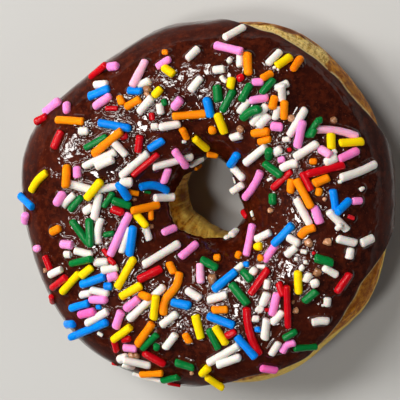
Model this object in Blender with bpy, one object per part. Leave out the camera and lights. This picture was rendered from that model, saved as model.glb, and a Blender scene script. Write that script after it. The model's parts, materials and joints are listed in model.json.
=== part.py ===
"""Sprinkle-frosted ring doughnut: a ring of raised dough and the chocolate icing that coats its top.

Metres, +Z up. The origin is on the table, under the middle of the whole. Seen from above, +X is to the
right and +Y is up, and bearings run from +X towards +Y. Every section of the ring is cut in an upright
plane at one bearing. In it, a section angle runs from 0, out at the rim, over 90, the crest, to 180,
in the hole, and on to 270, the underside.
"""

import math

import bmesh
import bpy
from mathutils import Vector

MM = 0.001

# Driving sizes of the dough.
RIM_RADIUS = 43.0 * MM
HOLE_RADIUS = 7.9 * MM
HOLE_CENTRE = Vector((1.8, 2.1, 0.0)) * MM
WAIST_HEIGHT = 13.2 * MM
CREST_RISE = 15.3 * MM
BELLY_DROP = 13.9 * MM
TOP_FULLNESS = 2.25
BELLY_FULLNESS = 2.5

# The rim and the hole are no true circles: their radii as shares of the two above, at even bearings.
RIM_SHAPE = (
    0.973, 0.995, 1.025, 1.034, 1.070, 1.020, 0.949, 0.953, 0.927, 0.919, 0.972, 1.016,
    0.986, 0.988, 0.988, 1.000, 1.007, 0.998, 0.988, 1.016, 1.018, 0.990, 1.037, 1.005,
)  # fmt: skip
HOLE_SHAPE = (0.94, 0.91, 1.15, 1.39, 1.16, 0.95, 0.86, 0.85, 0.82, 0.99, 1.3, 1.22)
# How high the crest stands, as shares of the rise above.
CREST_SHAPE = (1.0, 0.98, 0.99, 1.02, 1.01, 0.97, 0.99, 1.02, 1.0, 1.01, 1.03, 1.0)

# Soft swellings of the dough: (turns round the ring, turns round the section, phase, height), and the
# share of that height that is left in the hole.
SWELLINGS = (
    (5, 1, 0.4, 0.32 * MM),
    (8, -2, 2.1, 0.22 * MM),
    (13, 3, 4.0, 0.12 * MM),
)
SWELLING_IN_HOLE = 0.2

# The icing: its thickness on the crest and near its two edges, the width over which its edge is rounded
# off, how far in it reaches the crest's thickness, its gap to the dough, and the section angles where it
# ends, at even bearings.
ICING_CREST = 1.5 * MM
ICING_BEAD = 1.25 * MM
LIP_WIDTH = 1.5 * MM
BEAD_REACH = 9.0 * MM
CLEARANCE = 0.3 * MM
ICING_OUTER_EDGE = (
    -13, -8, 22, 28, 37, 25, -5, -16, -9, -14, -20, -13,
    -8, -16, -20, -12, -6, -11, 22, 43, 36, 32, 47, 32,
)  # fmt: skip
ICING_INNER_EDGE = (
    187, 188, 190, 191, 190, 187, 186, 184, 175, 159, 156, 153,
    145, 143, 143, 143, 146, 149, 153, 160, 170, 182, 187, 188,
)  # fmt: skip

# How finely the surfaces are divided.
BEARINGS = 72
DOUGH_POINTS = 26
ICING_TOP_SPANS = 20
ICING_UNDER_SPANS = 22
# How far the icing's points crowd towards its edges: 0 spaces them evenly, 1 the most.
EDGE_CROWDING = 0.55

DOUGH_BROWN = (0.42, 0.21, 0.05, 1.0)
CHOCOLATE = (0.055, 0.012, 0.007, 1.0)


def around(values, bearing):
    """The value at a bearing in degrees, on a smooth closed curve through values at even bearings."""
    place = bearing / 360.0 * len(values)
    first = math.floor(place)
    t = place - first
    a, b, c, d = (values[(first + k) % len(values)] for k in (-1, 0, 1, 2))
    slope_b = (c - a) / 2
    slope_c = (d - b) / 2
    rise = c - b
    return b + t * (slope_b + t * (3 * rise - 2 * slope_b - slope_c + t * (slope_b + slope_c - 2 * rise)))


class Section:
    """The ring cut at one bearing: where its middle is, which way is out, and how wide it is."""

    def __init__(self, bearing):
        self.bearing = bearing
        heading = Vector((math.cos(math.radians(bearing)), math.sin(math.radians(bearing)), 0.0))
        rim = heading * RIM_RADIUS * around(RIM_SHAPE, bearing)
        hole = HOLE_CENTRE + heading * HOLE_RADIUS * around(HOLE_SHAPE, bearing)
        self.out = (rim - hole).normalized()
        self.middle = (rim + hole) / 2 + Vector((0.0, 0.0, WAIST_HEIGHT))
        self.half_width = (rim - hole).length / 2
        self.rise = CREST_RISE * around(CREST_SHAPE, bearing)

    def point(self, across, up):
        """The point so far outwards and upwards from the section's middle."""
        return self.middle + self.out * across + Vector((0.0, 0.0, up))


def rounded(value, fullness):
    return math.copysign(abs(value) ** (2 / fullness), value)


def dough_outline(section, angle):
    """(across, up) of the dough's skin at a section angle in degrees, before it is set on the table."""
    turn = math.radians(angle)
    over = math.sin(turn) >= 0
    fullness = TOP_FULLNESS if over else BELLY_FULLNESS
    height = section.rise if over else BELLY_DROP
    swell = sum(
        size * math.sin(ring * math.radians(section.bearing) + round_section * turn + phase)
        for ring, round_section, phase, size in SWELLINGS
    )
    swell *= (1 + SWELLING_IN_HOLE + (1 - SWELLING_IN_HOLE) * math.cos(turn)) / 2
    across = section.half_width * rounded(math.cos(turn), fullness)
    up = height * rounded(math.sin(turn), fullness)
    return across + swell * math.cos(turn), up + swell * math.sin(turn)


def offset_outline(section, angle, distance):
    """(across, up) of a point that stands off the dough's skin by a distance, square to the skin."""
    step = 1.0
    before = dough_outline(section, angle - step)
    after = dough_outline(section, angle + step)
    along = Vector((after[0] - before[0], after[1] - before[1])).normalized()
    across, up = dough_outline(section, angle)
    return across + along.y * distance, up - along.x * distance


def dough_loop(bearing):
    """The dough's section, flat where it rests on the table."""
    section = Section(bearing)
    loop = []
    for i in range(DOUGH_POINTS):
        point = section.point(*dough_outline(section, 360.0 * i / DOUGH_POINTS))
        point.z = max(point.z, 0.0)
        loop.append(point)
    return loop


def icing_thickness(from_edge):
    """Thick at the crest, a little thinner at the bead, and rounded off to nothing at the edge."""
    to_crest = min(1.0, from_edge / BEAD_REACH)
    full = ICING_BEAD + (ICING_CREST - ICING_BEAD) * to_crest * to_crest * (3 - 2 * to_crest)
    lip = min(1.0, from_edge / LIP_WIDTH)
    return full * math.sqrt(lip * (2 - lip))


def icing_angles(bearing, spans):
    """Section angles from the icing's outer edge to its inner one, closer together at both edges."""
    start = around(ICING_OUTER_EDGE, bearing)
    end = around(ICING_INNER_EDGE, bearing)
    angles = []
    for i in range(spans + 1):
        share = i / spans
        eased = 0.5 - 0.5 * math.cos(math.pi * share)
        angles.append(start + (end - start) * (share + EDGE_CROWDING * (eased - share)))
    return angles


def icing_loop(bearing):
    """The icing's section: over the top from edge to edge, and back underneath, just clear of the dough."""
    section = Section(bearing)
    over = icing_angles(bearing, ICING_TOP_SPANS)
    skin = [Vector(offset_outline(section, angle, CLEARANCE)) for angle in over]
    steps = [(b - a).length for a, b in zip(skin, skin[1:])]
    girth = sum(steps)
    loop = []
    walked = 0.0
    for i, angle in enumerate(over):
        thickness = icing_thickness(min(walked, girth - walked))
        loop.append(section.point(*offset_outline(section, angle, CLEARANCE + thickness)))
        walked = min(girth, walked + steps[i]) if i < len(steps) else girth
    under = icing_angles(bearing, ICING_UNDER_SPANS)[1:-1]
    for angle in reversed(under):
        loop.append(section.point(*offset_outline(section, angle, CLEARANCE)))
    return loop


def ring_object(name, section_loop, material):
    """One closed object, swept round the ring from a section loop at each bearing."""
    shape = bmesh.new()
    rows = [
        [shape.verts.new(point) for point in section_loop(360.0 * i / BEARINGS)] for i in range(BEARINGS)
    ]
    for row, following in zip(rows, rows[1:] + rows[:1]):
        for i, corner in enumerate(row):
            j = (i + 1) % len(row)
            shape.faces.new((corner, row[j], following[j], following[i]))
    bmesh.ops.recalc_face_normals(shape, faces=shape.faces)
    mesh = bpy.data.meshes.new(name)
    shape.to_mesh(mesh)
    shape.free()
    mesh.shade_smooth()
    mesh.materials.append(material)
    made = bpy.data.objects.new(name, mesh)
    bpy.context.scene.collection.objects.link(made)
    return made


def food_material(name, colour, roughness):
    material = bpy.data.materials.new(name)
    material.use_nodes = True
    shader = material.node_tree.nodes["Principled BSDF"]
    shader.inputs["Base Color"].default_value = colour
    shader.inputs["Roughness"].default_value = roughness
    shader.inputs["Metallic"].default_value = 0.0
    return material


def stand_on_origin(objects):
    """Moves the pieces together, so that the origin is on the table under the middle of the whole."""
    points = [v.co for made in objects for v in made.data.vertices]
    middle = Vector(
        ((max(p[axis] for p in points) + min(p[axis] for p in points)) / 2 for axis in range(2))
    )
    for made in objects:
        for vertex in made.data.vertices:
            vertex.co.x -= middle.x
            vertex.co.y -= middle.y


def main():
    for old in list(bpy.data.objects):
        bpy.data.objects.remove(old)
    dough = ring_object("dough", dough_loop, food_material("fried_dough", DOUGH_BROWN, 0.7))
    icing = ring_object("icing", icing_loop, food_material("chocolate_icing", CHOCOLATE, 0.25))
    stand_on_origin((dough, icing))


main()
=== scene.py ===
"""Looks of the sprinkle-frosted ring doughnut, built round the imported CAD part.

Metres, +Z up, the CAD's own frame. The dough and the icing are rebuilt as fine surfaces over the CAD
solids, and the sprinkles are laid on the icing one by one.
"""

import json
import math
import random
from typing import NamedTuple

import bmesh
import bpy
import numpy as np
from mathutils import Matrix, Vector, noise
from mathutils.bvhtree import BVHTree
from mathutils.kdtree import KDTree


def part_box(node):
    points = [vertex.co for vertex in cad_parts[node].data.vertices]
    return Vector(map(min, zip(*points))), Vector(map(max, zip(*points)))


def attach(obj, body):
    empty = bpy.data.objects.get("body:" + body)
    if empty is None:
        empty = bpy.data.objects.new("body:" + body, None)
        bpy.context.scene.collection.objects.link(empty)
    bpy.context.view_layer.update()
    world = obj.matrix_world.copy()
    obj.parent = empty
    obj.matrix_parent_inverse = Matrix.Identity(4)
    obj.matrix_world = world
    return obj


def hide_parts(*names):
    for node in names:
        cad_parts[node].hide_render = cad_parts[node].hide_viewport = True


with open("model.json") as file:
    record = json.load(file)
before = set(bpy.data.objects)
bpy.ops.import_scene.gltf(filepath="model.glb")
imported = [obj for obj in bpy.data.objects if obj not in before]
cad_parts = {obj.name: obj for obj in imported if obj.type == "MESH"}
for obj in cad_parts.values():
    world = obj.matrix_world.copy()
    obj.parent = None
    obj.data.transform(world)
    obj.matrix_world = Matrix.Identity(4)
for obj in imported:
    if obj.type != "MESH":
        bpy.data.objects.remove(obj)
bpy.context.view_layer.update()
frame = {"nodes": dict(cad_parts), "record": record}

MM = 0.001

# ---- the camera, and the picture plane on which the sprinkles are laid out

AIM = Vector((-1.65, 0.8, 13.0)) * MM
TILT = 12.0
TOWARDS = 45.0
DISTANCE = 0.45
PICTURE_WIDTH = 0.0941
SENSOR = 36.0
# The picture plane runs through the aim point, square to the line of sight. Places on it are millimetres
# from the middle of the ring, X to the right and Y up. This is where the aim point is on it.
AIM_ON_PLANE = (-1.65, 0.82)


class Sprinkle(NamedTuple):
    """A sprinkle's two tips on the picture plane and its thickness, in millimetres.

    level: 0 lies on the icing, -1 is under its neighbours, 1 lies on them. bow: how far its middle is off
    the line of its tips, to the left on the way from the first to the second. tint: -1 pale to 1 deep.
    sway: how far an S-bend takes it off that line, on the left first."""

    x1: float
    y1: float
    x2: float
    y2: float
    thick: float = 1.9
    level: int = 0
    bow: float = 0.0
    tint: float = 0.0
    sway: float = 0.0


WHITE = (
    (-30.3, 17, -27.7, 17, 1.8), (-33.3, 4.9, -26.5, 3, 1.9, -1), (-26, 3.2, -18, 4.6, 1.8),
    (-20.6, 4.9, -17.4, 5, 2.1), (-34, -0.6, -31.1, 2.3, 1.7), (-29.1, -2.2, -26.9, -0.6, 1.8),
    (-33.8, -12, -31.9, -12, 1.8), (-31.3, -11, -26.8, -12.2), (-37.4, -17, -33.9, -15.3, 1.8),
    (-30, -21.6, -27.2, -21, 1.8), (-28.8, -28.5, -23.2, -25.2), (-26.7, 27.9, -23.1, 28.1, 1.9, -1),
    (-16.3, 27.6, -13.2, 29.1), (-16.2, 21.2, -12.9, 25.1), (-13, 18.1, -11.4, 18.1, 1.7),
    (-11.4, 17.8, -6.2, 18.8), (-11.2, 23.5, -10.8, 20.9, 1.8), (-22, 14.5, -18.9, 11.2),
    (-29.2, 8.6, -21.4, 12.2, 1.8), (-26.2, 8.6, -21.9, 10.5), (-20.5, 6.2, -13.8, 12),
    (-12.8, 8.5, -3.2, 11.1, 1.8, -1), (-4, 8.9, -0.9, 10.6, 1.5), (-12.6, 1.3, -7.5, 1.5),
    (-25.3, 2.5, -26.6, -3.9), (-25, -3.4, -25.7, -9.6, 1.8, 0, -0.3), (-18.2, -5.6, -20.2, -11.7, 1.6, -1),
    (-26.8, -13.9, -23.2, -13.7), (-25, -15.8, -20.9, -15), (-14.6, -5.4, -13.5, -8.7, 1.7, -1),
    (-27.6, -20.3, -23, -21.2, 1.8), (-15.1, -14.6, -6.3, -9.2), (-18.5, -27.4, -9.9, -19.3, 1.9, -1),
    (-25.8, -30.3, -24.5, -31.1, 1), (-21.2, -36.8, -18.4, -36, 2.1), (-19.8, -36.6, -13.2, -38.2),
    (-19.8, -37.7, -17, -38.7, 1.4), (-17.6, -40.2, -10.7, -42, 1.5, -1), (-5.9, 14.5, -4.9, 14.5, 0.8),
    (-4.8, 33.9, -1.9, 36.6, 1.8), (-4, 26.4, -1.3, 29.8), (1.3, 31.3, 4.2, 31.7), (3.3, 30, 4.1, 28.7, 1.1),
    (3.9, 28.5, 4.9, 29, 0.9), (-5, -20.2, -1.4, -22.5), (0, -22.8, 4.8, -21.4), (-11, -28.8, -6.8, -25.7),
    (-10, -34.2, -7.2, -30.5), (0.1, -37.7, 7.6, -33.3), (2.2, -38, 8.1, -36), (3.9, 38.9, 8.9, 41.6, 1.8),
    (7.7, 35.6, 7.8, 32.1, 1.7, -1), (4.9, 33.1, 5.7, 34.2, 1.4), (16, 27, 19.2, 28.4, 1.8),
    (17.5, 28, 17.7, 24.1, 1.75), (18.9, 26.5, 19.1, 25.6, 0.7), (14.2, 32.7, 17.3, 35.9, 1.75),
    (7.5, 21.2, 9.9, 24.3, 1.8), (10.4, 18.4, 14.2, 23.3, 1.8), (11.9, 17.9, 14.7, 20.8),
    (16.7, 22.9, 16, 19.6, 1.7), (23.3, 22.5, 19.2, 15.8), (17.7, 14.9, 19.6, 15.2, 1.3),
    (5.5, 15.4, 8.2, 16.1), (8.8, 9.3, 14, 13.5), (15.6, 11.6, 17.6, 13),
    (17.2, 8.2, 21.4, 9.6, 1.9, 0, 0.2), (5.9, 8.7, 8.8, 5.5, 2), (5.6, 2.6, 8.8, 4.7, 1.8),
    (6.3, 6.3, 6.7, 4.7, 0.7), (14.2, 5.4, 15.4, 6, 0.8), (20.9, 1.2, 24.3, -5.1),
    (20.5, 10.7, 26.2, 14.3, 2), (27.6, 9.5, 30.7, 11, 2), (29.4, 12, 30.5, 12.4, 1.2),
    (31.3, 5.9, 40, 9.4, 1.9, 0, -0.2), (35.9, 3.1, 37, 3.8, 1), (28.5, -1.7, 33, -6.3, 1.95),
    (31.5, -4.8, 30.3, -6.2, 1.3), (30.4, -8.2, 35.3, -9.4), (33.9, -10.4, 33.4, -13.1),
    (36.1, -9.5, 39.3, -8, 2), (11.3, -8.6, 15.2, -6.6, 1.85), (10.4, -1.7, 10.8, -3.1, 0.8),
    (3.9, -8, 5.8, -7.2, 1.1), (5.4, -7.6, 7.4, -6.1, 1.8), (6.6, -15.9, 8.5, -14.2, 1.6),
    (10.2, -15.4, 11.8, -16.4), (11.8, -14.8, 13.9, -14.9, 1), (14.3, -17.9, 13.9, -20.2, 1.6),
    (14.3, -20.9, 12.9, -24.3, 2), (11.5, -24.6, 13.2, -25.2, 1.7), (10.6, -27.1, 12.3, -27.2, 1.65),
    (14.1, -27, 13.5, -32.1), (15.2, -28.4, 17.9, -25.3, 1.8), (14.9, -35.8, 17.1, -32.5, 1.7),
    (24.6, -27.9, 28.8, -27.6, 1.9, 0, 0.15), (28.4, -22, 28.2, -24.3, 1.75), (26.9, -24, 27.5, -24, 0.6),
    (21.8, -15.7, 22.8, -14.6, 1.2), (23, -18.5, 24.2, -16.3, 1.7), (24.4, -19.2, 26.4, -18.4, 2.1),
    (27.3, -15, 30.8, -17, 1.8), (18.9, -7.8, 21.9, -9.6), (18.5, -12.3, 21.1, -10.2, 1.8),
    (22.1, -11.2, 23.6, -11.5, 1.1), (15.6, 32, 16.2, 32, 0.8), (16.5, 31.5, 16.9, 31.5, 0.6),
    (20.6, -13.1, 21.4, -13.1, 1), (22.8, -13.8, 23.6, -13.8, 1), (30.9, 5.1, 31.6, 5.1, 0.9),
)
PINK = (
    (-38.8, 21.6, -35, 24.9, 2.3), (-33, 23.9, -33, 21.2), (-43.4, -2.1, -43.5, -4.9, 2.2),
    (-30.6, 8.8, -30.5, 6), (-35.5, -0.4, -33.8, 2.6, 2.2), (-34.6, -9.5, -31.4, -9.8, 2.1),
    (-40.7, -10.9, -39, -10.2, 1.8), (-30.5, -26.3, -26.1, -25.3, 2.1, 0, 0, 1),
    (-23.5, 32.1, -20.7, 32.4, 2), (-14.4, 33.7, -17.6, 27.4, 1.9, 0, 0, -1), (-26.7, 22.6, -22.5, 25.5),
    (-18.2, -2.2, -22.9, -12.4), (-23.5, -17.6, -20.9, -16.8, 2.1), (-27.7, -22.6, -23.3, -22.6, 2),
    (-20.1, -25.1, -21.6, -29.5, 2.1), (-19.5, -25.1, -16, -22.2, 2), (-19.9, -33.8, -16.4, -34.3),
    (-11.9, 32, -8.5, 34.2, 1.8), (-8.1, 22.3, -6, 24.7, 2.1), (-7.9, 12.7, -4.6, 8.3, 1.9, 1),
    (-9, 8.4, -10.3, 4.7, 1.8), (-10.7, -7, -7.1, -5.5, 1.8), (-6.4, -12.8, -2.2, -9.2),
    (-1.6, -14, -1.5, -18.9, 1.9, 0, 0, -1), (1.7, 37.3, 8.4, 35.6, 1.9, 1), (10.6, 28.6, 13.4, 28.6, 1.75),
    (9.9, 24.1, 14.5, 25), (14.9, 18.3, 17.8, 17.9, 2.1), (16.7, 10.1, 18.4, 10.6, 1.4),
    (8.7, 0.9, 12.9, 7.7, 1.9, 0, -0.25), (21.2, 13.1, 22.5, 19.5, 2),
    (26.3, 13.1, 29.2, 11.2, 1.9, 0, 0, -0.8), (25.3, 17.5, 35.7, 15.8, 1.8, 0, 0.5, -1),
    (30.9, 10.3, 35.7, 12.6, 1.9, 0, 0, 0.8), (34, 0.5, 36.5, 0.6, 1.7), (25.2, -0.5, 26.6, -4.8, 2.1),
    (10.8, -4.7, 9.2, -12.4), (13.5, -13.7, 16.4, -9.3, 1.8, -1), (16.6, -20.9, 15.2, -26.5),
    (17.3, -34.9, 20.7, -32.4, 1.8, 0, 0.4), (12.5, -38.7, 16.6, -39.3, 1.9, 0, 0, 0.8),
    (19.6, 31.6, 20.2, 31.6, 0.8),
)
YELLOW = (
    (-41.6, 2.8, -37.6, 7.6, 1.8, 0, 0.3), (-28.5, 0.9, -24.7, 5.5, 1.9, 1),
    (-34.3, -21.1, -29.9, -16.2, 1.8), (-29.9, -17.3, -26.9, -14.8), (-12.7, 25.1, -10.7, 27.2),
    (-10.5, 32.3, -7.7, 30.2, 2, 1), (-16.9, -2.3, -14, -5.6), (-17, -12.6, -21.3, -20),
    (-20.5, -22.1, -15.3, -19.1, 2), (-12, -21.5, -12.6, -27.4, 1.9, 1), (-22.4, -32.3, -17.8, -28.9),
    (2.3, 21.3, 4.2, 16.4, 2), (-3.2, 15.5, 0.3, 12.6, 1.8), (-2.8, -26.2, -1.4, -31.9, 2),
    (1.8, -28.8, 4.6, -33.3), (-1.5, -40.4, 0.6, -38.3, 2), (-0.3, -40.7, 4, -43.6),
    (5.9, 29.7, 5.4, 26.9, 1.9, 1), (29.2, 16.6, 29.3, 12.7, 1.95), (31, 14.2, 36.9, 14.6),
    (11.1, -10.1, 13.1, -10.1, 2), (21.4, -15.8, 21.5, -21.3, 1.95), (16.2, 32.2, 20, 34.8, 1.95),
)
ORANGE = (
    (-35.8, 19.7, -28.8, 19.3), (-33, 9.1, -33.2, 3.6, 1.9, -1), (-37, -7, -34.3, -5.6, 1.8),
    (-20.6, 25.4, -19.8, 23.1, 1.8), (-19.3, 22.5, -15.6, 24.7, 1.8), (-27, 11.4, -19.9, 17.2, 1.9, 1),
    (-18.5, 2.7, -16, 2.3, 1.3), (-17.9, -1.8, -11.1, -0.2), (-13.2, -1.5, -13.2, -4, 1.3),
    (-16, -21.2, -13.1, -22.2), (-12.7, -28, -16.6, -33.5), (-15.9, -40.2, -10.2, -39.9, 1.7),
    (-10.6, 35.6, -9.1, 35.6, 1.3), (-8.2, 20.5, -0.2, 21.1), (1.2, 18.2, 1.3, 16.3, 1.8),
    (-6, 17.9, -4.7, 15.1, 1.7), (-0.1, 11.7, 2.7, 11.3, 1.7), (-2.8, 7.5, -1.1, 8.6, 1),
    (1.6, -12.7, 3.2, -12.7, 1.7), (-9, -13.7, -7.7, -16.6, 1.8),
    (-6.2, -16.1, -10.6, -26.3, 1.9, 0, -0.2, 0, 0.5), (1, -25, 5, -25, 1.8), (-5.3, -30.5, -4, -32.9, 1.7),
    (9.5, 35.6, 9.7, 30.1, 1.95), (12.8, 29.3, 15.4, 30.8, 1.7, 0, 0.15), (16, 25.4, 15.2, 22.1, 1.8),
    (18.2, 24.3, 18.1, 19.7, 1.75), (10.4, 16.4, 14.7, 17, 2), (11.9, 14.4, 15.1, 15.3, 1.7),
    (19.9, 5.8, 19.6, 2.4, 1.85), (20.9, 5.8, 24.6, -1.1, 1.85), (25, 4.6, 28.8, 6.2, 2),
    (26.5, 3.7, 26.2, 1.8, 1.6), (24.2, 9.9, 25.9, 9.9, 1.5), (21.6, -7.7, 25.4, -5.4, 1.9, 0, 0.3),
    (12.5, -12, 12.6, -13.5, 1.4), (7, -12.9, 7.7, -11.3, 1.6), (20, 31.2, 22.2, 34.5, 1.75, 0, 0, 0.8),
)
RED = (
    (-40.9, 19.1, -37.7, 20.8, 2), (-34.3, 17.2, -36.2, 12.8, 1.85), (-38.2, -12.2, -36.8, -15.6, 1.7),
    (-36.7, -20.1, -32.9, -17.1, 1.7), (-36.9, -21.5, -36.4, -23.8, 1.6), (-27.7, 29.5, -23.4, 32.8, 1.75),
    (-23.9, 22.3, -20.9, 22.4, 1.2), (-13.1, 21.4, -12.8, 19.5, 1.3), (-20.5, 15.6, -18.6, 16, 1.6, -1),
    (-15.7, 16.1, -16.3, 11.9, 1.8), (-17.6, 6.5, -11.4, 11.7, 1.5), (-22.6, -1.2, -19.5, -2.3),
    (-24.5, -10.6, -23.2, -12.4, 1.2, -1), (-23.2, -12.8, -21.6, -14.4, 1.3), (-16.3, -18, -10.6, -15.2, 2),
    (-22, -31.5, -21.2, -35, 1.7, -1), (-20.2, -32.1, -17.8, -31.7, 1.7), (-22.8, -38.3, -21.4, -38.6, 0.7),
    (-15.1, -35, -9.8, -38), (-9.4, -42.4, -6.2, -43, 1.2), (4.3, -31.4, 6.9, -30, 1.7),
    (7.1, 29.1, 8.6, 30, 1.7), (18.9, 12.6, 19.9, 12.7, 1), (15.2, 3.4, 20, 7.7, 1.5),
    (22.4, 7.4, 24.5, 3, 1.7), (23.2, 6.8, 32.4, 9.1, 1.8), (33.1, -2.9, 34.7, -3.6, 1, 0, 0, -1),
    (7, -1.2, 8.3, -3.1, 1.5), (10.1, -21.5, 14.5, -15.3, 1.8), (13.5, -25, 14.5, -25.1, 1),
    (16.8, -18.5, 17.9, -21.9, 1.7), (18.7, -19.2, 19.1, -29.5, 1.6),
    (9.2, -24.4, 12.3, -35.8, 1.9, 0, -0.7), (30.4, -21.1, 33.7, -16.3), (24.9, -11.7, 25.4, -11.7, 0.9),
)
GREEN = (
    (-32.4, -1.7, -29.4, 1.7, 1.6), (-31.9, -3.9, -27.8, -9.6, 1.8), (-27.7, -3.6, -27.4, -10.4),
    (-32.4, -14.3, -26.8, -12.9, 1.7), (-28.9, 12.9, -23.4, 15.9, 1.5), (-22, 2.7, -24.4, -1, 1.5),
    (-22.4, 0.8, -17.8, -0.6), (-14.8, 2.8, -13.3, 2.6, 0.8), (-24.5, -7.5, -21.8, -6.9, 1.3),
    (-15.4, -34.4, -11.6, -30.6, 1.6), (-11.7, -33, -12, -34.6, 1.6), (2.3, 27.9, 2.7, 23.8, 2.1),
    (3.5, 21.6, 6.4, 27, 1.8), (-10.3, 24.6, -9.8, 23, 1.4), (-1.5, -13, 2.6, -15.3),
    (0.3, -29.4, 2.8, -34.4, 1.7), (-10.7, -41.7, -6.5, -40.8, 1.8), (-7.6, -37.3, -3, -38.8),
    (7.9, 23.9, 10.2, 28.2, 1.8), (12.7, 25.8, 15.8, 29.4, 1.7), (7.9, 19.9, 12.7, 22.5, 2, 0, 0.3),
    (14.4, 13, 14.7, 10.3), (13.2, 9.7, 17.6, 6.3), (15.4, 2.4, 15.5, -0.4), (23.4, 15.6, 26.2, 19.6, 1.5),
    (25.6, 19.3, 27, 19.6, 1.6), (24.2, 15.5, 25.3, 17.5, 1.6), (8.3, -15.6, 10.5, -18.3),
    (5.6, -18.8, 9.6, -23.8, 2), (17.9, -31.9, 21.2, -29.9, 1.6), (20.3, -34.1, 26, -33.7, 1.6),
    (22.6, -23.3, 25.9, -20.5), (25.3, -12.8, 29.7, -14, 2),
)
BLUE = (
    (-44.3, 2.2, -40.8, -1.2), (-29.9, -19.2, -23.9, -17.1, 2), (-32.6, -24.8, -27.6, -23.4, 1.8),
    (-33.7, -28.5, -30.8, -28.3, 2), (-32.6, -31.7, -23.2, -27.8), (-28, 25, -22.8, 27.2, 2),
    (-18.7, 26.6, -15.1, 26.4, 1.8), (-25.6, 19, -17.8, 17.6), (-13.8, 12.7, -10.1, 15, 1.8),
    (-20.9, 4.9, -18.3, 0.9, 2), (-16, 4.1, -8.8, 3, 1.9, 0, 0.7), (-17.3, -5.2, -18.3, -12.4, 2),
    (-24.4, -19.5, -22.2, -19.5), (-26.1, -24.4, -24.8, -24.3, 1.2), (-0.1, 25, 0.9, 20.3, 2.1),
    (-8.5, -23.1, -3.7, -24.2, 2.1), (1.3, -20.5, 6.9, -15.8, 2), (0, -26.3, 6.5, -28.8, 1.95),
    (5.1, 8.5, 7.5, 12, 2), (29.6, 3.4, 30.3, -1.5, 1.8), (30.3, -2.3, 33.7, 0.9),
    (15.4, -9.8, 20.2, -4.9, 1.9, 1), (8.6, -14.3, 10, -14.3, 1.4), (11.2, -29.6, 12.6, -29.7, 1.4),
    (6.9, -31.2, 11.5, -36.3),
)
SPRINKLES = {
    "white": WHITE, "pink": PINK, "yellow": YELLOW, "orange": ORANGE,
    "red": RED, "green": GREEN, "blue": BLUE,
}

# Crumbs of sugar under a thin film of icing: (X, Y, radius) on the picture plane, in millimetres.
CRUMBS = (
    (-13.9, 26.9, 0.8), (-14.1, 25.9, 0.5), (-17.1, 1, 0.4), (-37.8, -15.7, 0.5), (-17.6, -35.5, 0.7),
    (-16.4, -35.6, 0.7), (1.4, -17.8, 1), (-3.6, -39.8, 0.4), (-13.2, -5.4, 0.5), (19.8, 20.1, 0.7),
    (7.9, 17.6, 0.7), (15, -1.6, 0.6), (29.7, 19.5, 0.7), (24, -9.2, 0.8), (28.4, -9, 0.75),
    (26, -16.2, 0.8), (27.7, 1, 0.4), (11.2, -3.6, 0.35), (20.9, -25.2, 0.6), (20.2, -23.1, 0.4),
)

# Where the icing was stirred up as the sprinkles fell: (X, Y, radius) on the picture plane, in millimetres.
STIRRED = (
    (-13, 31, 2.2), (-10.3, 29.2, 2.2), (-5.4, 31.4, 3), (-1.5, 32.4, 2.4), (-2, 29, 3), (-6.5, 27.5, 3.5),
    (0.5, 25.8, 2.4), (-4, 22.7, 1.6), (-27, 19.5, 3), (-22, 21.5, 2.4), (-19, 20.5, 2.2),
    (-29.5, 14.2, 2.8), (-29, 11, 2.4), (-34, 14.8, 2.4), (-34.6, 11.2, 2.8), (-35.6, 7, 2.4),
    (-34.2, 3.4, 2.6), (-25, 1.5, 2), (-20, 9, 2.5), (-15.8, -16, 2.2), (-18.6, -18.6, 1.6),
    (-13, -18.9, 2.2), (-4.8, -28.6, 2.6), (-18.8, -28, 1.8), (-1, -24.5, 2.2), (-6.4, -22, 1.8),
    (15.8, -4.8, 2), (18.8, -1.6, 2.4), (27.5, -6.4, 2.4), (25.6, -9.6, 2), (22.8, -11.3, 1.8),
    (17.3, -15, 3), (20.9, -13, 2.2), (41.3, 4, 1.8), (40.5, 0, 2.2), (40, -5, 2), (-31.8, 14.2, 2.6),
    (-33, -25, 2.4), (-35, -19, 2.2), (6.5, 20.5, 2.6), (12.5, 21, 2),
)


# ---- reading the CAD solids

# The height of the core points, as a share of the dough's.
WAIST_SHARE = 0.45
# The section angle of the ring's crest.
CREST = 90.0
# Further from the core than any skin.
OUTSIDE = 50.0 * MM
TABLE_BEARINGS = 240
TABLE_ANGLES = 180
# How far, in degrees, the CAD's facets are smoothed round the ring and round its section.
SMOOTH_BEARING = 4.0
SMOOTH_ANGLE = 9.0
# The search for the icing's edges, outside and in the hole: the section angle where it starts and its step,
# and how often that is then halved.
EDGE_SEARCH = ((60.0, -2.0), (120.0, 2.0))
EDGE_HALVINGS = 7
# How far each seed shifts the noise, in lumps, and where a wave may start, in radians.
SEED_SHIFT = (17.3, 5.1, 9.7)
PHASES = (0, 6.28)


def tree_over(points, faces):
    """A search tree over the faces between some points."""
    return BVHTree.FromPolygons([tuple(p) for p in points], [tuple(f) for f in faces])


def tree_of(made):
    """A search tree over a CAD solid, whose points are in the frame's own space."""
    return tree_over([v.co for v in made.data.vertices], [p.vertices for p in made.data.polygons])


def even_turn(count):
    """So many even angles round a full turn, in degrees."""
    return np.arange(count) * 360.0 / count


def smoothed(values, sigma, axis):
    """Values round a full turn along an axis, smoothed by so many degrees."""
    count = values.shape[axis]
    waves = np.fft.rfftfreq(count, 1.0 / count)
    damping = np.exp(-0.5 * (waves * math.radians(sigma)) ** 2)
    shape = [1] * values.ndim
    shape[axis] = len(damping)
    damped = np.fft.rfft(values, axis=axis) * damping.reshape(shape)
    return np.fft.irfft(damped, count, axis=axis)


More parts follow.
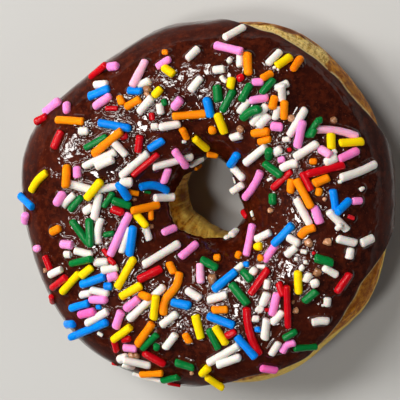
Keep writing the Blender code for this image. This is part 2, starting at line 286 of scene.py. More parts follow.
class Ring:
    """The ring as the CAD solids give it.

    Its sections are upright planes through the middle of the hole, one at each bearing. In a section, the
    core point is halfway between the hole and the rim at waist height, and angles run round it from 0,
    outwards, over 90, upwards, to 180, towards the hole."""

    def __init__(self):
        self.dough = tree_of(frame["nodes"]["dough"])
        self.icing = tree_of(frame["nodes"]["icing"])
        low, high = frame["record"]["physics"]["openings"][0]["box_m"]
        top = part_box("dough")[1].z
        self.middle = Vector(((low[0] + high[0]) / 2, (low[1] + high[1]) / 2, WAIST_SHARE * top))
        bearings = even_turn(TABLE_BEARINGS)
        self.core = smoothed(np.array([self.core_distance(b) for b in bearings]), SMOOTH_BEARING, 0)
        skin = [[self.reach(self.dough, b, a) for a in even_turn(TABLE_ANGLES)] for b in bearings]
        self.skin = smoothed(smoothed(np.array(skin), SMOOTH_BEARING, 0), SMOOTH_ANGLE, 1)
        edges = np.array([self.icing_edges(b) for b in bearings])
        self.outer_edge = smoothed(edges[:, 0], SMOOTH_BEARING, 0)
        self.inner_edge = smoothed(edges[:, 1], SMOOTH_BEARING, 0)
        crests = [self.reach(self.icing, b, CREST) - self.reach(self.dough, b, CREST) for b in bearings]
        self.icing_thickness = float(np.median(crests))

    def heading(self, bearing):
        return Vector((math.cos(math.radians(bearing)), math.sin(math.radians(bearing)), 0.0))

    def core_distance(self, bearing):
        """How far the core point is from the middle of the hole."""
        heading = self.heading(bearing)
        hole = self.dough.ray_cast(self.middle, heading)[3]
        far = self.middle + heading
        rim = 1.0 - self.dough.ray_cast(far, -heading)[3]
        return (hole + rim) / 2

    def reach(self, tree, bearing, angle):
        """How far a solid's skin is from the core point, or None where it isn't there."""
        heading = self.heading(bearing)
        distance = float(self.core[int(bearing / 360.0 * TABLE_BEARINGS)])
        start = self.middle + heading * distance
        turn = math.radians(angle)
        along = heading * math.cos(turn) + Vector((0.0, 0.0, math.sin(turn)))
        outside = min(OUTSIDE, distance / max(-math.cos(turn), 1e-6))
        hit = tree.ray_cast(start + along * outside, -along, outside)[3]
        return None if hit is None else outside - hit

    def icing_edges(self, bearing):
        """The angles at which the icing starts, outside, and ends, in the hole."""
        edges = []
        for angle, step in EDGE_SEARCH:
            while self.reach(self.icing, bearing, angle + step) is not None:
                angle += step
            for _ in range(EDGE_HALVINGS):
                step /= 2
                if self.reach(self.icing, bearing, angle + step) is not None:
                    angle += step
            edges.append(angle)
        return edges


def at_bearings(table, bearings):
    """Values, or rows of them, at bearings, from a closed table of them at even bearings."""
    table = np.asarray(table)
    places = bearings / 360.0 * len(table)
    first = np.floor(places).astype(int)
    share = (places - first).reshape(-1, *[1] * (table.ndim - 1))
    return table[first % len(table)] * (1 - share) + table[(first + 1) % len(table)] * share


def skin_values(ring, bearings, angles):
    """How far the dough's skin is from the core at bearings (rows) and angles (a row of them for each)."""
    rows = at_bearings(ring.skin, bearings)
    places = (angles % 360.0) / 360.0 * TABLE_ANGLES
    first = np.floor(places).astype(int)
    share = places - first
    before = np.take_along_axis(rows, first % TABLE_ANGLES, 1)
    after = np.take_along_axis(rows, (first + 1) % TABLE_ANGLES, 1)
    return before * (1 - share) + after * share


def section_points(ring, bearings, angles, reach):
    """Points at bearings (rows), angles and distances from the core (a row of each for each bearing)."""
    turns = np.radians(bearings)
    out = at_bearings(ring.core, bearings)[:, None] + reach * np.cos(np.radians(angles))
    x = ring.middle.x + out * np.cos(turns)[:, None]
    y = ring.middle.y + out * np.sin(turns)[:, None]
    z = ring.middle.z + reach * np.sin(np.radians(angles))
    return np.stack([x, y, z], axis=2)


def wrapped_faces(rows, columns):
    """Quads over a grid of points that closes on itself both ways, facing away from the core."""
    i, j = np.meshgrid(np.arange(rows), np.arange(columns), indexing="ij")
    over, along = (i + 1) % rows, (j + 1) % columns
    corners = (i * columns + j, over * columns + j, over * columns + along, i * columns + along)
    return np.stack(corners, axis=2).reshape(-1, 4)


def mesh_object(name, points, faces, material):
    mesh = bpy.data.meshes.new(name)
    mesh.from_pydata([tuple(p) for p in points], [], [tuple(f) for f in faces])
    mesh.shade_smooth()
    mesh.materials.append(material)
    made = bpy.data.objects.new(name, mesh)
    bpy.context.scene.collection.objects.link(made)
    return made


def set_attribute(made, name, values):
    layer = made.data.attributes.new(name, "FLOAT", "POINT")
    layer.data.foreach_set("value", np.asarray(values, np.float32).reshape(-1))


def noise_at(points, size, seed):
    """Smooth noise of about -1 to 1 at each point; size is the width of its lumps."""
    shift = Vector([seed * far for far in SEED_SHIFT])
    return np.array([noise.noise(Vector(p) / size + shift) for p in points])


def bump_of(x):
    """1 at 0, falling smoothly to 0 at 1 and beyond."""
    return np.clip(1 - x * x, 0, 1) ** 2


# ---- the icing

# The icing's grid: its bearings, which are the dough's too, and its spans over the top and underneath.
BEARINGS = 500
ICING_TOP = 178
ICING_UNDER = 18
# The part of it that is the upper side.
UPPER = np.s_[:, : ICING_TOP + 1]
# How far its points crowd towards its edges: 0 spaces them evenly, 1 the most.
EDGE_CROWDING = 0.45
# How deep its hidden underside lies in the dough's skin.
ICING_SINK = 0.45 * MM
# Its edge: how wide the rounding is, its thickness as a share of the crest's, and how far in that is reached.
LIP_WIDTH = 1.5 * MM
BEAD_SHARE = 0.86
BEAD_REACH = 9 * MM
# Small waves of the edge: (how many round the ring, degrees of section angle).
EDGE_WAVES = ((9, 0.7), (17, 0.6), (29, 0.45), (43, 0.3))
# The seed and the strength of those waves, outside and in the hole.
OUTER_WAVES = (3, 1.0)
INNER_WAVES = (4, 0.45)
# Its swellings: (height and width in millimetres, seed), how much of them is left at the edge, and how far
# in they are whole.
SWELLINGS = ((0.20, 9.0, 1), (0.10, 3.6, 2), (0.035, 1.5, 5))
SWELL_AT_EDGE = 0.25
SWELL_REACH = 2.5 * MM


def edge_waver(bearings, seed, strength):
    """Small waves of the icing's edge, in degrees of section angle."""
    turns = np.radians(bearings)
    draw = random.Random(seed)
    return strength * sum(size * np.sin(count * turns + draw.uniform(*PHASES)) for count, size in EDGE_WAVES)


def icing_ends(ring, bearings):
    """Columns of the section angles at which the icing starts, outside, and ends, in the hole."""
    start = at_bearings(ring.outer_edge, bearings) + edge_waver(bearings, *OUTER_WAVES)
    end = at_bearings(ring.inner_edge, bearings) + edge_waver(bearings, *INNER_WAVES)
    return start[:, None], end[:, None]


def icing_grid(ring):
    """(points, from_edge): the icing's closed surface as a grid, before the sprinkles shape it."""
    bearings = even_turn(BEARINGS)
    start, end = icing_ends(ring, bearings)
    share = np.linspace(0, 1, ICING_TOP + 1)
    eased = 0.5 - 0.5 * np.cos(np.pi * share)
    over = start + (end - start) * (share + EDGE_CROWDING * (eased - share))
    skin = skin_values(ring, bearings, over)
    steps = np.linalg.norm(np.diff(section_points(ring, bearings, over, skin), axis=1), axis=2)
    walked = np.concatenate([np.zeros((BEARINGS, 1)), np.cumsum(steps, axis=1)], axis=1)
    from_edge = np.minimum(walked, walked[:, -1:] - walked)
    lip = np.clip(from_edge / LIP_WIDTH, 0, 1)
    thickness = BEAD_SHARE + (1 - BEAD_SHARE) * np.clip(from_edge / BEAD_REACH, 0, 1)
    reach = skin + ring.icing_thickness * thickness * np.sqrt(lip * (2 - lip))
    top = section_points(ring, bearings, over, reach)
    under = start + (end - start) * np.linspace(1, 0, ICING_UNDER + 2)[1:-1]
    bottom = section_points(ring, bearings, under, skin_values(ring, bearings, under) - ICING_SINK)
    return np.concatenate([top, bottom], axis=1), from_edge


def grid_normals(points):
    """Normals of a grid of points that closes on itself both ways."""
    along = np.roll(points, -1, axis=0) - np.roll(points, 1, axis=0)
    across = np.roll(points, -1, axis=1) - np.roll(points, 1, axis=1)
    normals = np.cross(along, across)
    return normals / np.maximum(np.linalg.norm(normals, axis=2, keepdims=True), 1e-12)


def pour_icing(ring):
    """The icing before the sprinkles: its points and their normals."""
    points, from_edge = icing_grid(ring)
    normals = grid_normals(points)
    top = points[UPPER].reshape(-1, 3)
    swell = sum(height * noise_at(top, width * MM, seed) for height, width, seed in SWELLINGS) * MM
    whole = SWELL_AT_EDGE + (1 - SWELL_AT_EDGE) * np.clip(from_edge / SWELL_REACH, 0, 1)
    points[UPPER] += normals[UPPER] * (swell.reshape(from_edge.shape) * whole)[..., None]
    return points, normals


# ---- laying the sprinkles

# The seeds of what chance decides, for the laying of the sprinkles and for the crumbs.
LAYING_SEED = 11
CRUMB_SEED = 29
# A sprinkle is moved towards the ring's crest in steps of so many millimetres, until so much of it has icing
# under it.
SEARCH_STEP = 0.25
SEARCH_STEPS = 16
CREST_RADIUS = 25.0
SUPPORTED_SHARE = 0.5
# A sprinkle's axis: the millimetres between its points, the fewest of them, and how far inside the tips it
# ends, as a share of the radius and, at most, of the length.
AXIS_STEP = 0.7
LEAST_SPOTS = 4
TIP_INSET = 0.9
MOST_INSET = 0.45
# How deep it is in the icing, as a share of the radius, and what chance and a low level add, in millimetres.
EMBED_SHARE = 0.42
SINK_CHANCE = (-0.12, 0.18)
LOW_SINK = 0.25
# The least that a steep place counts as facing the eye.
LEAST_FACING = 0.3
# How much straighter it is than the icing under it, and how far it faces one way.
STRAIGHTNESS = 0.55
FACING_AS_ONE = 0.7
# How far apart two axes stay, as a share of both radii, the most that this lifts one, the ways of lifting it,
# as shares at its two ends, and the least share that is reckoned with.
PILE_SHARE = 0.84
MOST_LIFT = 1.9 * MM
TILTS = ((0.0, 1.0), (1.0, 0.0), (0.5, 1.0), (1.0, 0.5), (1.0, 1.0))
LEAST_TILT = 0.12
# How much a row's tint counts, and how far chance moves it.
TINT_SHARE = 0.75
TINT_CHANCE = 0.25


class Sight:
    """The photo's line of sight: from its eye through any point of the picture plane."""

    def __init__(self):
        tilt, towards = math.radians(TILT), math.radians(TOWARDS)
        self.back = Vector(
            (math.sin(tilt) * math.cos(towards), math.sin(tilt) * math.sin(towards), math.cos(tilt))
        )
        self.right = Vector((0, 1, 0)).cross(self.back).normalized()
        self.up = self.back.cross(self.right)
        self.eye = AIM + self.back * DISTANCE

    def on_plane(self, x, y):
        across = self.right * (x - AIM_ON_PLANE[0]) + self.up * (y - AIM_ON_PLANE[1])
        return AIM + across * MM

    def meet(self, tree, x, y):
        """(point, normal) where the line of sight through (x, y) meets a surface, or (None, None)."""
        point, normal = tree.ray_cast(self.eye, (self.on_plane(x, y) - self.eye).normalized())[:2]
        return point, normal

    def depth_of(self, point):
        """How far a point is from the picture plane, towards the eye."""
        return (point - AIM).dot(self.back)

    def at_depth(self, x, y, depth):
        """The point at a depth on the line of sight through (x, y)."""
        return self.eye.lerp(self.on_plane(x, y), 1 - depth / DISTANCE)


class Laid(NamedTuple):
    """A sprinkle in place: its axis, the way that it faces along it, its radius and its tint."""

    axis: np.ndarray
    normals: np.ndarray
    radius: float
    tint: float


def row_spots(row):
    """Places along a sprinkle's axis on the picture plane, from a little inside one tip to the other."""
    first = Vector((row.x1, row.y1))
    run = Vector((row.x2, row.y2)) - first
    ahead = run.normalized()
    left = Vector((-ahead.y, ahead.x))
    inset = min(row.thick / 2 * TIP_INSET, run.length * MOST_INSET)
    length = run.length - 2 * inset
    count = max(LEAST_SPOTS, int(length / AXIS_STEP) + 2)
    spots = []
    for t in np.linspace(0, 1, count).tolist():
        off = row.bow * 4 * t * (1 - t) + row.sway * math.sin(2 * math.pi * t)
        spots.append(first + ahead * (inset + length * t) + left * off)
    return spots


def settle(spots, sight, tree):
    """(spots, hits) of a sprinkle, moved onto the ring until enough of it has icing under it."""
    middle = spots[len(spots) // 2]
    onto_ring = middle.normalized() * (1 if middle.length < CREST_RADIUS else -1)
    for step in range(SEARCH_STEPS):
        moved = [spot + onto_ring * SEARCH_STEP * step for spot in spots]
        hits = [sight.meet(tree, spot.x, spot.y) for spot in moved]
        if sum(point is not None for point, _ in hits) >= SUPPORTED_SHARE * len(hits):
            return moved, hits
    raise ValueError(f"no icing near {middle}")


def axis_of(row, sight, tree):
    """The axis of a sprinkle that lies on the icing, and the way that it faces at each point.

    An end that has no icing under it runs on at the depth of the nearest place that has."""
    spots, hits = settle(row_spots(row), sight, tree)
    held = [i for i, (point, _) in enumerate(hits) if point is not None]
    depth, normals = [], []
    for i in range(len(spots)):
        point, normal = hits[min(held, key=lambda k: abs(k - i))]
        stand = row.thick / 2 * MM * (1 - EMBED_SHARE) / max(LEAST_FACING, normal.dot(sight.back))
        depth.append(sight.depth_of(point) + stand)
        normals.append(normal)
    depth, normals = np.array(depth), np.array(normals)
    t = np.linspace(0, 1, len(spots))
    depth += (np.polyval(np.polyfit(t, depth, 1), t) - depth) * STRAIGHTNESS
    axis = np.array([sight.at_depth(spot.x, spot.y, float(d)) for spot, d in zip(spots, depth)])
    return axis, normals * (1 - FACING_AS_ONE) + normals.mean(axis=0) * FACING_AS_ONE


def lift_over(axis, radius, laid, back):
    """How much higher each point of an axis has to be to lie over the sprinkles that are there already."""
    need = np.zeros(len(axis))
    for other in laid:
        apart = axis[:, None] - other.axis[None]
        height = apart @ back
        beside = np.linalg.norm(apart - height[..., None] * back, axis=2)
        room = (radius + other.radius) * PILE_SHARE
        rise = np.sqrt(np.clip(room * room - beside * beside, 0, None)) - height
        rise[beside >= room] = 0
        need = np.maximum(need, rise.max(axis=1))
    return np.clip(need, 0, MOST_LIFT)


def tilted(need):
    """The smallest even tilt that lifts every point at least as far as it needs."""
    t = np.linspace(0, 1, len(need))
    options = []
    for first, last in TILTS:
        slope = first + (last - first) * t
        scale = np.max(need / np.maximum(slope, LEAST_TILT))
        options.append((scale * (first + last), scale * slope))
    return min(options, key=lambda option: option[0])[1]


def lay_sprinkles(sight, tree):
    """{colour: sprinkles in place}, the low ones first, so that later ones lie on them."""
    draw = random.Random(LAYING_SEED)
    rows = [(Sprinkle(*row), colour) for colour, listed in SPRINKLES.items() for row in listed]
    rows.sort(key=lambda pair: pair[0].level)
    back = np.array(sight.back)
    laid = {colour: [] for colour in SPRINKLES}
    there = []
    for row, colour in rows:
        axis, normals = axis_of(row, sight, tree)
        radius = row.thick / 2 * MM
        sink = draw.uniform(*SINK_CHANCE) + (LOW_SINK if row.level < 0 else 0.0)
        axis = axis - back * sink * MM
        lift = np.minimum(tilted(lift_over(axis, radius, there, back)), MOST_LIFT)
        tint = row.tint * TINT_SHARE + draw.uniform(-TINT_CHANCE, TINT_CHANCE)
        done = Laid(axis + back * lift[:, None], normals, radius, tint)
        laid[colour].append(done)
        there.append(done)
    return laid


# ---- the shape of one sprinkle

# The points round a rod, and the distance between its rings.
AROUND = 16
RING_SPACING = 0.55 * MM
# The rings of a rounded end, and how far short of the tip the last one stays, in rings.
CAP_RINGS = 5
CAP_GAP = 0.35
# What chance decides: how blunt an end is, how far it reaches past the axis and how slanting it is, as
# shares of the radius; how flat the rod is; and its taper.
BLUNTNESS = (2.1, 3.6)
CAP_REACH = (0.55, 0.95)
SLANT = (0.0, 0.24)
FLATNESS = (0.92, 1.0)
TAPER = (-0.05, 0.05)
# Waves of its girth along it, as (share, rate), and round it, as (share, count, how they turn along it).
GIRTH_WAVES = ((0.025, 7), (0.02, 13))
ROUND_WAVES = ((0.02, 2, 0), (0.015, 3, 4))
# Its dents: how deep they are, as a share of the radius, and their noise, as (lumps, seed).
DENT_SHARE = 0.07
DENTS = (1.1 * MM, 31)


def curve_through(points, count):
    """Evenly spaced points on a smooth curve through the given ones."""
    padded = np.concatenate([[2 * points[0] - points[1]], points, [2 * points[-1] - points[-2]]])
    spots = np.linspace(0, len(points) - 1 - 1e-9, count)
    first = np.floor(spots).astype(int)
    t = (spots - first)[:, None]
    a, b, c, d = (padded[first + k] for k in range(4))
    return 0.5 * (2 * b + (c - a) * t + (2 * a - 5 * b + 4 * c - d) * t**2 + (3 * b - a - 3 * c + d) * t**3)


def cap_shape(reach, blunt):
    """How far out each ring of a rounded end is, and how wide, from its root to its tip."""
    share = np.sin(np.arange(1, CAP_RINGS + 1) / (CAP_RINGS + CAP_GAP) * math.pi / 2)
    return (reach * share)[:, None], (1 - share**blunt) ** (1 / blunt)


def rod_faces(count):
    """The faces of a rod of so many rings, whose tips are its last two points."""
    ring = [(m, (m + 1) % AROUND) for m in range(AROUND)]
    starts = range(0, (count - 1) * AROUND, AROUND)
    faces = [(k + m, k + n, k + AROUND + n, k + AROUND + m) for k in starts for m, n in ring]
    first_tip, last_tip = count * AROUND, count * AROUND + 1
    for m, n in ring:
        faces.append((first_tip, n, m))
        faces.append((last_tip, (count - 1) * AROUND + m, (count - 1) * AROUND + n))
    return faces


def rod_mesh(sprinkle, draw):
    """(points, faces) of a sugar rod, broken off more or less bluntly at both ends and uneven in girth."""
    radius = sprinkle.radius
    length = np.linalg.norm(np.diff(sprinkle.axis, axis=0), axis=1).sum()
    spine = curve_through(sprinkle.axis, max(2, int(length / RING_SPACING)))
    up = sprinkle.normals.mean(axis=0)
    up /= np.linalg.norm(up)
    ways = np.gradient(spine, axis=0)
    ways /= np.linalg.norm(ways, axis=1, keepdims=True)
    blunt = [draw.uniform(*BLUNTNESS) for _ in range(2)]
    reach = [radius * draw.uniform(*CAP_REACH) for _ in range(2)]
    slant = [draw.uniform(*SLANT) for _ in range(2)]
    spine[0] -= ways[0] * (radius * TIP_INSET - reach[0])
    spine[-1] += ways[-1] * (radius * TIP_INSET - reach[1])
    first_out, first_size = cap_shape(reach[0], blunt[0])
    last_out, last_size = cap_shape(reach[1], blunt[1])
    tips = [spine[0] - ways[0] * reach[0], spine[-1] + ways[-1] * reach[1]]
    middles = np.concatenate([spine[0] - ways[0] * first_out[::-1], spine, spine[-1] + ways[-1] * last_out])
    sizes = np.concatenate([first_size[::-1], np.ones(len(spine)), last_size])
    ways = np.concatenate([[ways[0]] * CAP_RINGS, ways, [ways[-1]] * CAP_RINGS])
    leans = np.zeros(len(middles))
    leans[: CAP_RINGS + 1] += slant[0]
    leans[-CAP_RINGS - 1 :] += slant[1]
    girth_waves = [(*wave, draw.uniform(*PHASES)) for wave in GIRTH_WAVES]
    round_waves = [(*wave, draw.uniform(*PHASES)) for wave in ROUND_WAVES]
    slant_way = draw.uniform(*PHASES)
    flatness = draw.uniform(*FLATNESS)
    taper = draw.uniform(*TAPER)
    points = []
    turn = np.radians(even_turn(AROUND))
    for t, middle, size, way, lean in zip(np.linspace(0, 1, len(middles)), middles, sizes, ways, leans):
        side = np.cross(up, way)
        side /= np.linalg.norm(side)
        over = np.cross(way, side)
        girth = 1 + taper * (t - 0.5)
        girth += sum(share * math.sin(rate * t + start) for share, rate, start in girth_waves)
        uneven = 1.0
        for share, waves, turning, start in round_waves:
            uneven += share * np.sin(waves * turn + start + turning * t)
        r = radius * size * girth * uneven
        ring = middle + np.outer(r * np.cos(turn), side) + np.outer(r * np.sin(turn) * flatness, over)
        points.append(ring + np.outer(lean * r * np.cos(turn + slant_way), way))
    points = np.concatenate(points)
    dents = DENT_SHARE * noise_at(points, *DENTS)[:, None]
    points += (points - np.repeat(middles, AROUND, axis=0)) * dents
    return np.concatenate([points, tips]), rod_faces(len(middles))


class Joined:
    """Small meshes joined into one, each with its own tint."""

    def __init__(self):
        self.points, self.faces, self.tints = [], [], []
        self.count = 0

    def add(self, points, faces, tint):
        self.points.append(points)
        self.faces += [tuple(self.count + corner for corner in face) for face in faces]
        self.tints += [tint] * len(points)
        self.count += len(points)

    def build(self, name, material):
        made = mesh_object(name, np.concatenate(self.points), self.faces, material)
        set_attribute(made, "tint", self.tints)
        return made


def build_sprinkles(colour, laid, material):
    draw = random.Random("sprinkles " + colour)
    rods = Joined()
    for sprinkle in laid:
        rods.add(*rod_mesh(sprinkle, draw), sprinkle.tint)
    made = rods.build("sprinkles_" + colour, material)
    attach(made, "root")


# A crumb's lumps, as (height, rate), and where its noise may start; how often its ball is divided; how much
# its coat adds; and how high it stands, in radii.
CRUMB_LUMPS = ((0.32, 1.1), (0.24, 2.4), (0.10, 5.5))
CRUMB_SHIFTS = (0, 90)
CRUMB_DIVISIONS = 3
CRUMB_COAT = 1.2
CRUMB_STAND = 0.35


def crumb_mesh(radius, draw):
    """(points, faces) of a lumpy nugget round the origin."""
    shape = bmesh.new()
    bmesh.ops.create_icosphere(shape, subdivisions=CRUMB_DIVISIONS, radius=radius)
    shift = Vector([draw.uniform(*CRUMB_SHIFTS) for _ in range(3)])
    for vertex in shape.verts:
        way = vertex.co / radius
        vertex.co *= 1 + sum(height * noise.noise(way * rate + shift) for height, rate in CRUMB_LUMPS)
    points = np.array([vertex.co for vertex in shape.verts])
    faces = [tuple(vertex.index for vertex in face.verts) for face in shape.faces]
    shape.free()
    return points, faces


def build_crumbs(sight, tree, material):
    """Lumpy crumbs of sugar under a film of icing."""
    draw = random.Random(CRUMB_SEED)
    nuggets = Joined()
    for x, y, radius in CRUMBS:
        spot, normal = sight.meet(tree, x, y)
        points, faces = crumb_mesh(radius * CRUMB_COAT * MM, draw)
        points += np.array(spot + normal * radius * MM * CRUMB_STAND)
        nuggets.add(points, faces, draw.uniform(-1, 1))
    made = nuggets.build("sugar_crumbs", material)
    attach(made, "root")


# ---- the icing's finish

# The rim of icing round a sprinkle: its height and width, and its distance from the axis, in radii.
RIM_RISE = 0.34 * MM
RIM_WIDTH = 0.32 * MM
RIM_FOOT = 0.82
# How much of that height there is: on average, how far noise, as (lumps, seed), moves it, and its limits.
RIM_SHARE = 0.55
RIM_CHANGE = 1.1
RIM_NOISE = (1.7 * MM, 8)
RIM_LEAST = 0.1
RIM_MOST = 1.2
# A sprinkle draws icing up if its axis is less than so many radii above it, and less over the last part.
TOUCHING = 1.25
TOUCHING_FADE = 0.5
# How far from a sprinkle the icing is left uneven, and how much less than in a stirred patch.
STIR_WIDTH = 1.4 * MM
STIR_SHARE = 0.22
# Further from a sprinkle than any rim of icing round it.
FAR_GAP = 5 * MM
# How many points of each sprinkle's axis are tried.
AXIS_SPOTS = 24


def hug_sprinkles(points, normals, laid):
    """Draws the icing up against every sprinkle that touches it.

    Returns, for each point, the gap to the nearest such sprinkle and how stirred up that leaves it."""
    rods = [rod for group in laid.values() for rod in group]
    spots = [(spot, rod.radius) for rod in rods for spot in curve_through(rod.axis, AXIS_SPOTS)]
    near = KDTree(len(spots))
    for i, (spot, _) in enumerate(spots):
        near.insert(spot, i)
    near.balance()
    top = points[UPPER].reshape(-1, 3)
    rise = np.zeros(len(top))
    gap_on_top = np.full(len(top), FAR_GAP)
    for v, (place, normal) in enumerate(zip(top, normals[UPPER].reshape(-1, 3))):
        spot, i, distance = near.find(place)
        if distance > FAR_GAP:
            continue
        apart = np.array(spot) - place
        height = apart @ normal
        beside = math.sqrt(max(0.0, apart @ apart - height * height))
        radius = spots[i][1]
        touching = min(1.0, max(0.0, (radius * TOUCHING - height) / (radius * TOUCHING_FADE)))
        from_foot = max(0.0, beside - radius * RIM_FOOT)
        rise[v] = touching * RIM_RISE * math.exp(-((from_foot / RIM_WIDTH) ** 2))
        gap_on_top[v] = beside - radius + (1 - touching) * FAR_GAP
    rise *= np.clip(RIM_SHARE + RIM_CHANGE * noise_at(top, *RIM_NOISE), RIM_LEAST, RIM_MOST)
    points[UPPER] += normals[UPPER] * rise.reshape(len(points), -1, 1)
    gap = np.full(points.shape[:2], FAR_GAP)
    gap[UPPER] = gap_on_top.reshape(len(points), -1)
    return gap, STIR_SHARE * np.exp(-((np.maximum(gap, 0) / STIR_WIDTH) ** 2))


def stir_patches(points, stirred, sight, tree):
    """Stirs up the patches listed as STIRRED."""
    for x, y, radius in STIRRED:
        spot, _ = sight.meet(tree, x, y)
        apart = np.linalg.norm(points - np.array(spot), axis=2)
        np.maximum(stirred, bump_of(apart / (radius * MM)), out=stirred)


def build_icing(points, faces, gap, stirred, material):
    made = mesh_object("icing_coat", points.reshape(-1, 3), faces, material)
    set_attribute(made, "gap_mm", gap / MM)
    set_attribute(made, "stirred", stirred)
    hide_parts("icing")
    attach(made, "root")


# ---- the dough

# The band that the fat never browned: the section angles between which it shows and how pale it is, at
# even bearings.
PALE_FROM = (-14, -14, -12, 2, 12, 12, 0, -10) + (-14,) * 16
PALE_TO = (10, 12, 15, 8, 19, 19, 14) + (12,) * 10 + (14, 22, 31, 31, 22, 12, 8)
PALENESS = (0.6, 0.35, 0.12, 0.2, 0.9, 0.9, 0.8) + (0.7,) * 13 + (0.9, 1.0, 1.0, 0.8)
# How far its edges fade, and how ragged they and those of the torn part are, in degrees, and that noise, as
# (lumps in millimetres, seed).
PALE_FADE = (-2.0, 2.0)
RAGGED = 3.0
RAGGED_NOISE = (2.2, 26)
# Where the dough has torn open: the bearings over which that starts and ends, and the section angles over
# which it starts.
TORN_START = (48.5, 50.0)
TORN_END = (92.0, 84.0)
TORN_ABOVE = (8.0, 13.0)
# How far past the icing's rim the pale line reaches, in millimetres, at even bearings: partly dough that
# stayed pale, partly painted sheen of the icing's lip.
PALE_AND_SHEEN_LINE = (0.25, -0.05, 0.05) + (0.25,) * 9
# How far that is along the skin, before those are added: in the hole, and outside at most, in millimetres.
LINE_IN_HOLE = 0.5
LINE_OUTSIDE = 2.6
# Patches as (bearing, section angle, half their width in each, strength): stretched pale, browned to a
# crust, folded outwards, and sunk in.
PALES = ((53.0, 10.0, 5.0, 15.0, 1.0),)
CRUSTS = (
    (64.5, 10, 9.5, 12.5, 1), (60.4, 14.5, 2.6, 3.6, 1), (73.5, 14.5, 4.5, 3.4, 1), (57, 7, 4, 4.5, 0.8),
    (66, 17, 3, 3, 0.7), (78, 11, 5, 4, 0.6), (184, 168, 26, 18, 0.62), (205, 158, 20, 7, 0.42),
    (334, 25, 2.5, 3, 0.5), (329, 31, 2.5, 2.5, 0.5), (324, 33, 2.5, 2.5, 0.5), (331, 28, 14, 13, 0.45),
    (38, 13, 11, 12, 0.5),
)
FOLDS = (
    (60.4, 14, 3.4, 4.5, 1), (73, 14, 5, 3.5, 0.8), (66, 9, 5, 5, 0.5), (51.5, 15, 3.5, 13, 0.5),
    (336, 22, 7, 4, 0.4), (322, 31, 5, 4, 0.4),
)
# The pits are sunk in, and painted near-black inside as painted shade.
PITS = ((62.4, 18.5, 0.9, 1.8, 1.0), (68.5, 25.0, 0.7, 1.4, 0.8), (333.2, 13.0, 0.6, 1.6, 0.8))
FOLD_HEIGHT = 0.6 * MM
FOLD_RAGGED = 0.8
PIT_DEPTH = 0.6 * MM
# The dough's swellings, as the icing's are given.
DOUGH_SWELLINGS = ((0.16, 7.0, 21), (0.10, 2.4, 22), (0.05, 1.1, 23))
# The pores of the torn part: their depth in millimetres, the noise from which they start, and that noise.
PORE_DEPTH = 0.45
PORE_START = 0.16
PORES = (0.95, 24, (1, 1, 0.5))
# The pleated wall of the hole: its middle and how far it reaches, as section angles, and its pleats as
# (lumps in millimetres, seed, stretch).
PLEATED = (176.0, 45.0)
PLEATS = (1.5, 25, (1, 1, 0.3))
# The fine ridges down it: their noise, as (width in radii of the hole, seed), and the degrees of section
# angle that count as one radius.
RIDGES = (0.065, 27)
RIDGE_LENGTH = 480.0
# How pale that wall is: in all, and the painted highlights that lighten it along the crests of the pleats and
# of the ridges; and how high these two stand, in millimetres.
WALL_PALENESS_AND_HIGHLIGHTS = (0.74, 0.4, 0.6)
PLEAT_HEIGHT = 0.20
RIDGE_HEIGHT = 0.12
# Where the crust browns towards the underside, as section angles: in the hole and outside.
BROWNED_IN_HOLE = (200.0, 232.0)
BROWNED_OUTSIDE = (-4.0, -26.0)
# How far the dough draws back under the icing, and the degrees from its edge between which it does.
DOUGH_UNDER_ICING = 0.35 * MM
UNDER_ICING = (1.0, 5.0)
# The dough's section angles, closer together where it shows: (first, step) of each run.
DOUGH_RUNS = ((-26.0, 0.85), (52.0, 6.0), (142.0, 1.25), (216.0, 4.5))


def step_up(values, low, high):
    """0 at low and beyond it, 1 at high and beyond it."""
    t = np.clip((values - low) / (high - low), 0, 1)
    return t * t * (3 - 2 * t)


def dough_angles():
    ends = [first for first, _ in DOUGH_RUNS[1:]] + [DOUGH_RUNS[0][0] + 360.0]
    runs = [np.arange(first, end - step / 2, step) for (first, step), end in zip(DOUGH_RUNS, ends)]
    return np.concatenate(runs)


